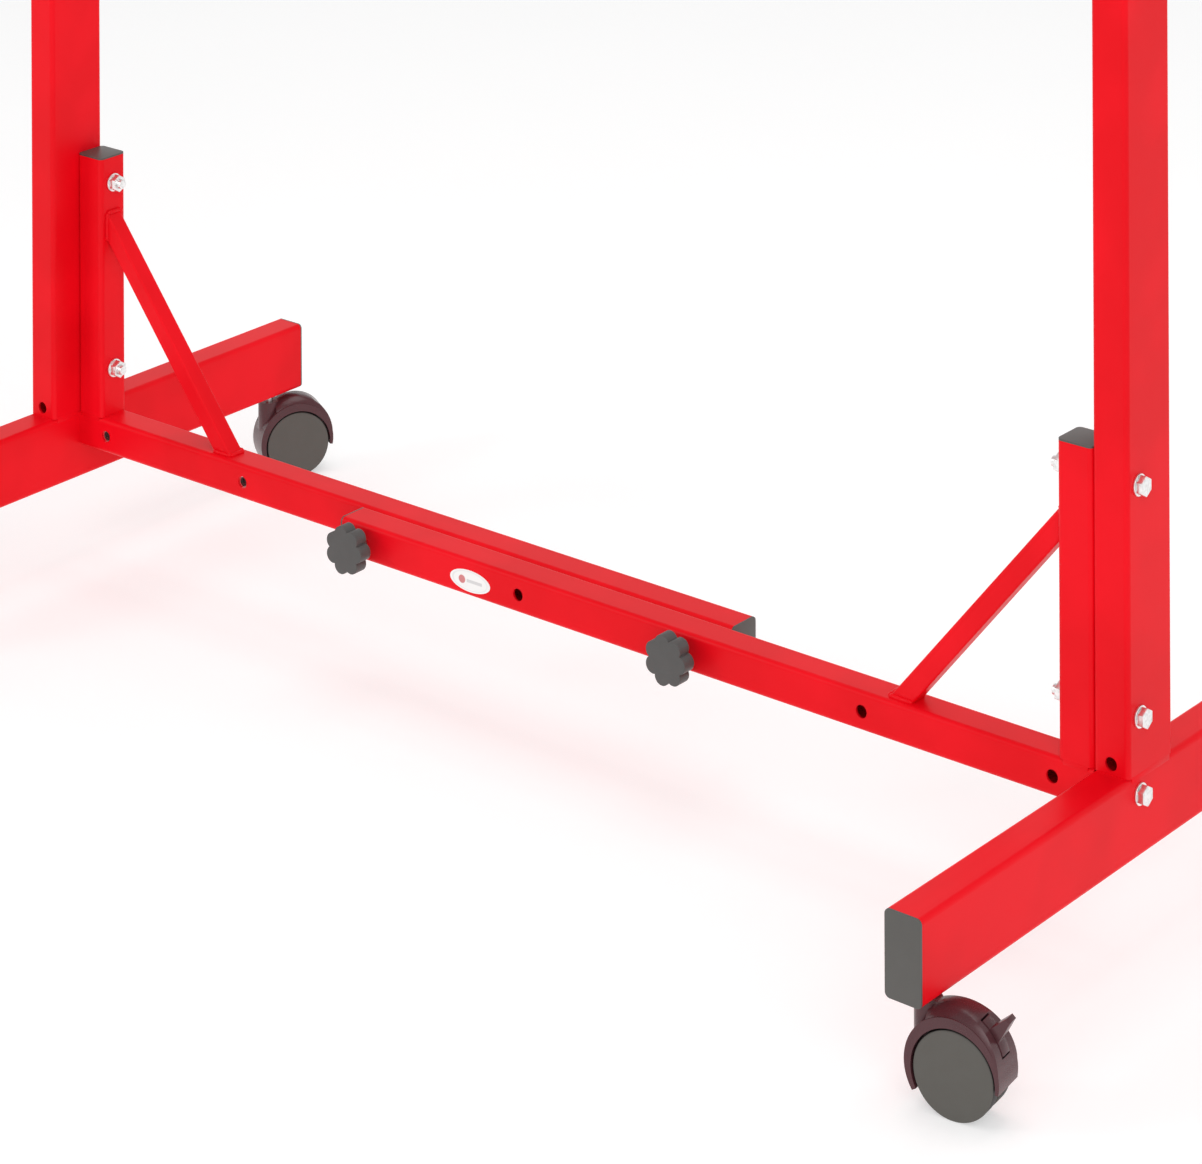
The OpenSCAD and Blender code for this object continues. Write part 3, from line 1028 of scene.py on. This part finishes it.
@dataclass
class Studio:
    """Pale floor, soft light, and a level camera that looks down through a lowered film plane."""

    eye: Point = (2.1025, -2.4814, 1.4525)
    yaw: float = 39.43
    roll: float = -0.247
    reach: float = 3.3295
    right: float = 0.0059
    down: float = 1.3605
    film: float = 36.0
    clip: Span = (0.05, 60.0)
    floor_size: float = 40.0
    horizon: float = 0.86
    zenith: float = 0.40
    fade: Span = (0.25, 0.85)
    lamps: tuple[SoftBox, ...] = (
        SoftBox("key", 2.6, 54.0, (2.9, -2.6, 2.6), (0, 0, 0.3)),
        SoftBox("fill", 0.7, 20.0, (-2.2, -2.8, 2.0), (0, 0, 0.3)),
        SoftBox("top", 2.5, 44.0, (0.2, 0.4, 3.6), (0.2, 0.4, 0)),
    )

    def camera(self) -> None:
        """Sets the camera with upright lines kept parallel.

        The view plane stays upright while the view runs downwards, as with a view camera's raised
        back. A parent of unequal scale gives that, and the camera's own shift stays at zero.
        """
        a, r = math.radians(self.yaw), math.radians(self.roll)
        ahead = Vector((-math.sin(a), math.cos(a), 0.0))
        side0 = Vector((math.cos(a), math.sin(a), 0.0))
        up0 = Vector((0.0, 0.0, 1.0))
        side = side0 * math.cos(r) + up0 * math.sin(r)
        up = up0 * math.cos(r) - side0 * math.sin(r)
        middle = ahead * self.reach + side * self.right - up * self.down
        back = -middle.normalized()
        plane = Matrix((side, up, back)).transposed()
        u, s, vt = np.linalg.svd(np.array(plane))
        if np.linalg.det(u) < 0:
            u[:, 2] *= -1
            vt[2, :] *= -1
        data = bpy.data.cameras.new("camera")
        data.sensor_width = self.film
        data.sensor_fit = "HORIZONTAL"
        data.lens = self.film * middle.length
        data.clip_start, data.clip_end = self.clip
        stand = bpy.data.objects.new("camera_stand", None)
        camera = bpy.data.objects.new("camera", data)
        for obj in (stand, camera):
            bpy.context.scene.collection.objects.link(obj)
        stand.location = self.eye
        stand.rotation_mode = "QUATERNION"
        stand.rotation_quaternion = Matrix(u.tolist()).to_quaternion()
        stand.scale = [float(v) for v in s]
        camera.parent = stand
        camera.rotation_mode = "QUATERNION"
        camera.rotation_quaternion = Matrix(vt.tolist()).to_quaternion()
        bpy.context.scene.camera = camera
        bpy.context.view_layer.update()

    def sky(self, tree: bpy.types.NodeTree) -> None:
        """Surrounds the stage with white light that is brightest near the horizon."""
        back = tree.nodes["Background"]
        back.inputs["Color"].default_value = (1.0, 1.0, 1.0, 1.0)
        place = tree.nodes.new("ShaderNodeTexCoord")
        split = tree.nodes.new("ShaderNodeSeparateXYZ")
        fade = tree.nodes.new("ShaderNodeMapRange")
        names = ("From Min", "From Max", "To Min", "To Max")
        for name, value in zip(names, (*self.fade, self.horizon, self.zenith)):
            fade.inputs[name].default_value = value
        tree.links.new(place.outputs["Generated"], split.inputs[0])
        tree.links.new(split.outputs["Z"], fade.inputs["Value"])
        tree.links.new(fade.outputs[0], back.inputs["Strength"])

    def floor(self) -> None:
        """Lays a wide floor under the wheels."""
        Bench.clear()
        bpy.ops.mesh.primitive_plane_add(size=self.floor_size, location=(0, 0, 0))
        floor = bpy.context.object
        floor.name = "floor"
        floor.data.materials.append(PaleFloor().make())

    def build(self) -> None:
        """Sets the camera, the floor and the lights."""
        scene = bpy.context.scene
        scene.view_settings.view_transform = "Standard"
        world = bpy.data.worlds.new("studio")
        scene.world = world
        world.use_nodes = True
        self.sky(world.node_tree)
        self.camera()
        self.floor()
        for lamp in self.lamps:
            lamp.hang()


# ---------------------------------------------------------------- the rack


def main() -> None:
    """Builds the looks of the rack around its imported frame."""
    logging.basicConfig(level=logging.INFO, format="%(message)s")
    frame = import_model()
    Studio().build()

    low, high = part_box("label")
    paints = Paints(tuple((a + b) / 2 for a, b in zip(low, high)))
    TubeFrame(paints).dress(frame)

    fills = WeldFills(paints)
    beads = WeldBeads(paints)
    hardware = Hardware(paints)
    for side in Side:
        fills.pair(side, "upright", 0)
        fills.pair(side, "post", 1)
        beads.brace(side)
        beads.rails(side, "lower")
        beads.rails(side, "upper")
        hardware.build(side)
    for name in ("outer_knob", "inner_knob"):
        StarKnob(paints, name).build()

    joints = {j["name"]: j for j in frame["joints"]}
    for corner in ("front_left", "front_right", "rear_left", "rear_right"):
        roll = joints[f"{corner}_outer_roll"]
        Caster(paints, corner, Vector(roll["pos_m"]), Vector(roll["axis"])).build()


if __name__ == "__main__":
    main()
